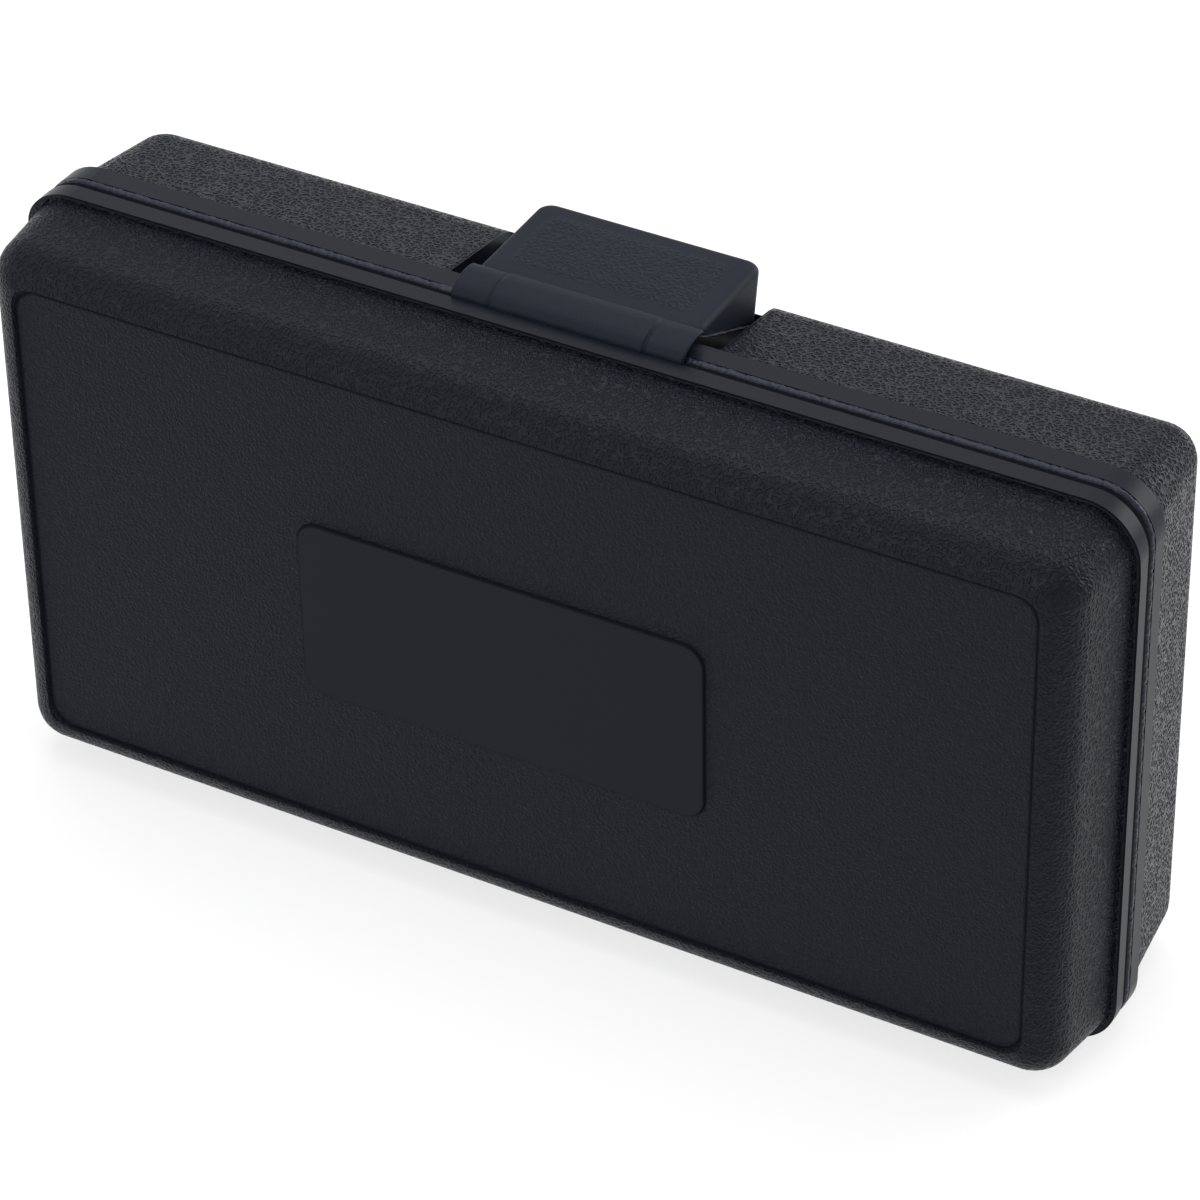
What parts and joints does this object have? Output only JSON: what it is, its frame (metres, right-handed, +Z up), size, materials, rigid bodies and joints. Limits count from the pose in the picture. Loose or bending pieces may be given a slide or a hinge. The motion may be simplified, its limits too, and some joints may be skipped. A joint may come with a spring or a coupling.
{
  "type": "tool case",
  "caption": "Small blow-moulded tool case on its hinge edge: double-wall lid and base, living hinge, strap latch that drops into a pocket, tool nests sunk in the base.",
  "frame": {"origin": "bottom centre of the box round the closed case, on the surface that it stands on", "axes": "+X along the long side, to the right seen from the front; +Y from the lid's face to the back; +Z up, from the hinge edge to the latch"},
  "size_m": [0.23, 0.0581, 0.1242],
  "materials": {
    "grained_shell": "coarse moulded leather grain, blue-black",
    "smooth_inside": "plain moulded",
    "pinched_seam": "rough pinched and trimmed",
    "satin_latch": "satin, slightly glossy"
  },
  "bodies": {
    "base": {"base_outer_skin": "grained_shell", "base_inner_skin": "smooth_inside", "base_seam_bead": "pinched_seam", "hinge_web": "satin_latch"},
    "lid": {"lid_outer_skin": "grained_shell", "lid_inner_skin": "smooth_inside", "lid_seam_bead": "pinched_seam"},
    "latch": {"latch_upper_skin": "satin_latch", "latch_lower_skin": "satin_latch", "latch_strap": "satin_latch", "latch_snap_lip": "satin_latch"}
  },
  "joints": [
    {"name": "lid_hinge", "type": "hinge", "parent": "base", "child": "lid", "pos_m": [0, -0.00445, 0.0003], "axis": [1, 0, 0], "range_deg": [0, 180], "deforming": ["hinge_web", "latch_snap_lip"]},
    {"name": "latch_hinge", "type": "hinge", "parent": "lid", "child": "latch", "pos_m": [0, -0.00545, 0.1205], "axis": [1, 0, 0], "range_deg": [0, 130], "deforming": ["latch_strap", "latch_snap_lip"]}
  ]
}
